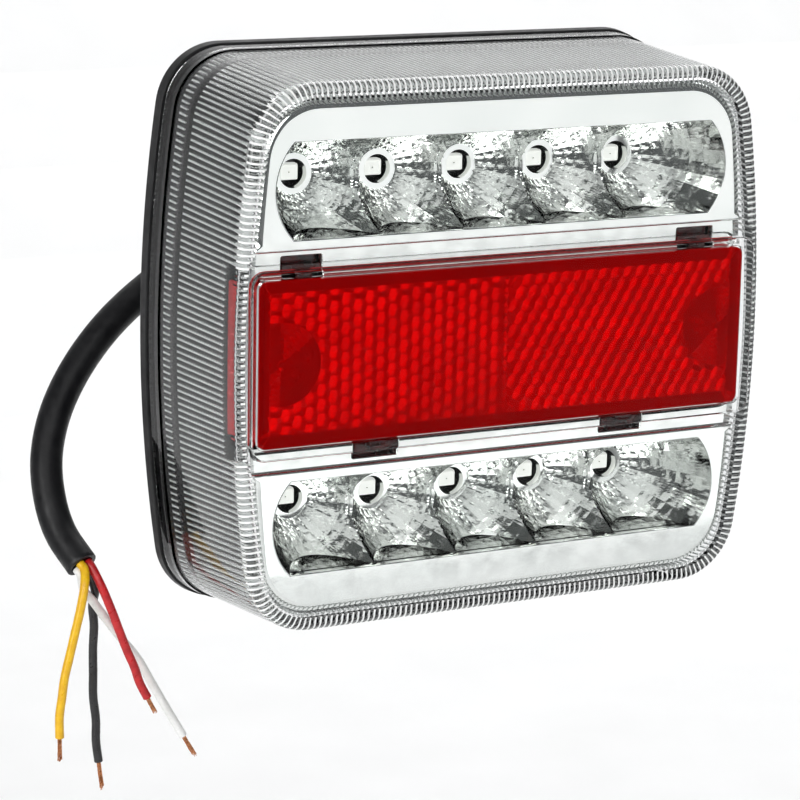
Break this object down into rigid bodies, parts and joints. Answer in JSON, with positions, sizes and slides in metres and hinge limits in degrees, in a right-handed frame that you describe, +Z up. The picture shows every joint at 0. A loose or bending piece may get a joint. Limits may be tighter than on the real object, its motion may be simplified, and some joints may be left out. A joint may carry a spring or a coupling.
{
  "type": "trailer tail light",
  "caption": "Square LED rear lamp with a fluted clear cover, a red reflex band between two rows of chromed bowls, and a short four-core cable.",
  "frame": {"origin": "midway between the two mounting studs, in the plane of the mounting face", "axes": "+Y out of the mounting face along the studs, so the lit face looks along -Y; +X to the right as seen from the lit side; +Z up"},
  "size_m": [0.1181, 0.0733, 0.1365],
  "materials": {
    "housing_plastic": "satin dark grey",
    "seal_rubber": "matt black",
    "clear_plastic": "clear polycarbonate, polished",
    "red_plastic": "transparent red acrylic with prisms",
    "metallised_plastic": "vacuum-metallised mirror over plastic",
    "circuit_laminate": "black solder mask",
    "led_package": "white package with a pale yellow emitter",
    "chip_ceramic": "black chip resistor",
    "diode_body": "black epoxy",
    "zinc_steel": "bright zinc plate",
    "solder": "dull solder",
    "grommet_rubber": "matt black",
    "sheath_pvc": "satin black PVC",
    "core_yellow_pvc": "yellow PVC",
    "core_red_pvc": "red PVC",
    "core_white_pvc": "white PVC",
    "core_black_pvc": "black PVC",
    "copper_strand": "bare copper strands"
  },
  "bodies": {
    "root": {"base_housing": "housing_plastic", "lens_seal": "seal_rubber", "outer_lens": "clear_plastic", "red_reflector": "red_plastic", "reflector_bezel": "metallised_plastic", "circuit_board": "circuit_laminate", "upper_row_leds": "led_package", "lower_row_leds": "led_package", "tail_leds": "led_package", "resistors": "chip_ceramic", "diodes": "diode_body", "board_screws": "zinc_steel", "solder_joints": "solder", "inner_lead_yellow": "core_yellow_pvc", "inner_lead_red": "core_red_pvc", "inner_lead_white": "core_white_pvc", "inner_lead_black": "core_black_pvc", "cable_grommet": "grommet_rubber", "cable_sheath": "sheath_pvc", "core_yellow": "core_yellow_pvc", "core_red": "core_red_pvc", "core_white": "core_white_pvc", "core_black": "core_black_pvc", "bare_strands": "copper_strand", "mounting_studs": "zinc_steel", "flat_washers": "zinc_steel", "spring_washers": "zinc_steel", "stud_nuts": "zinc_steel"}
  },
  "joints": []
}
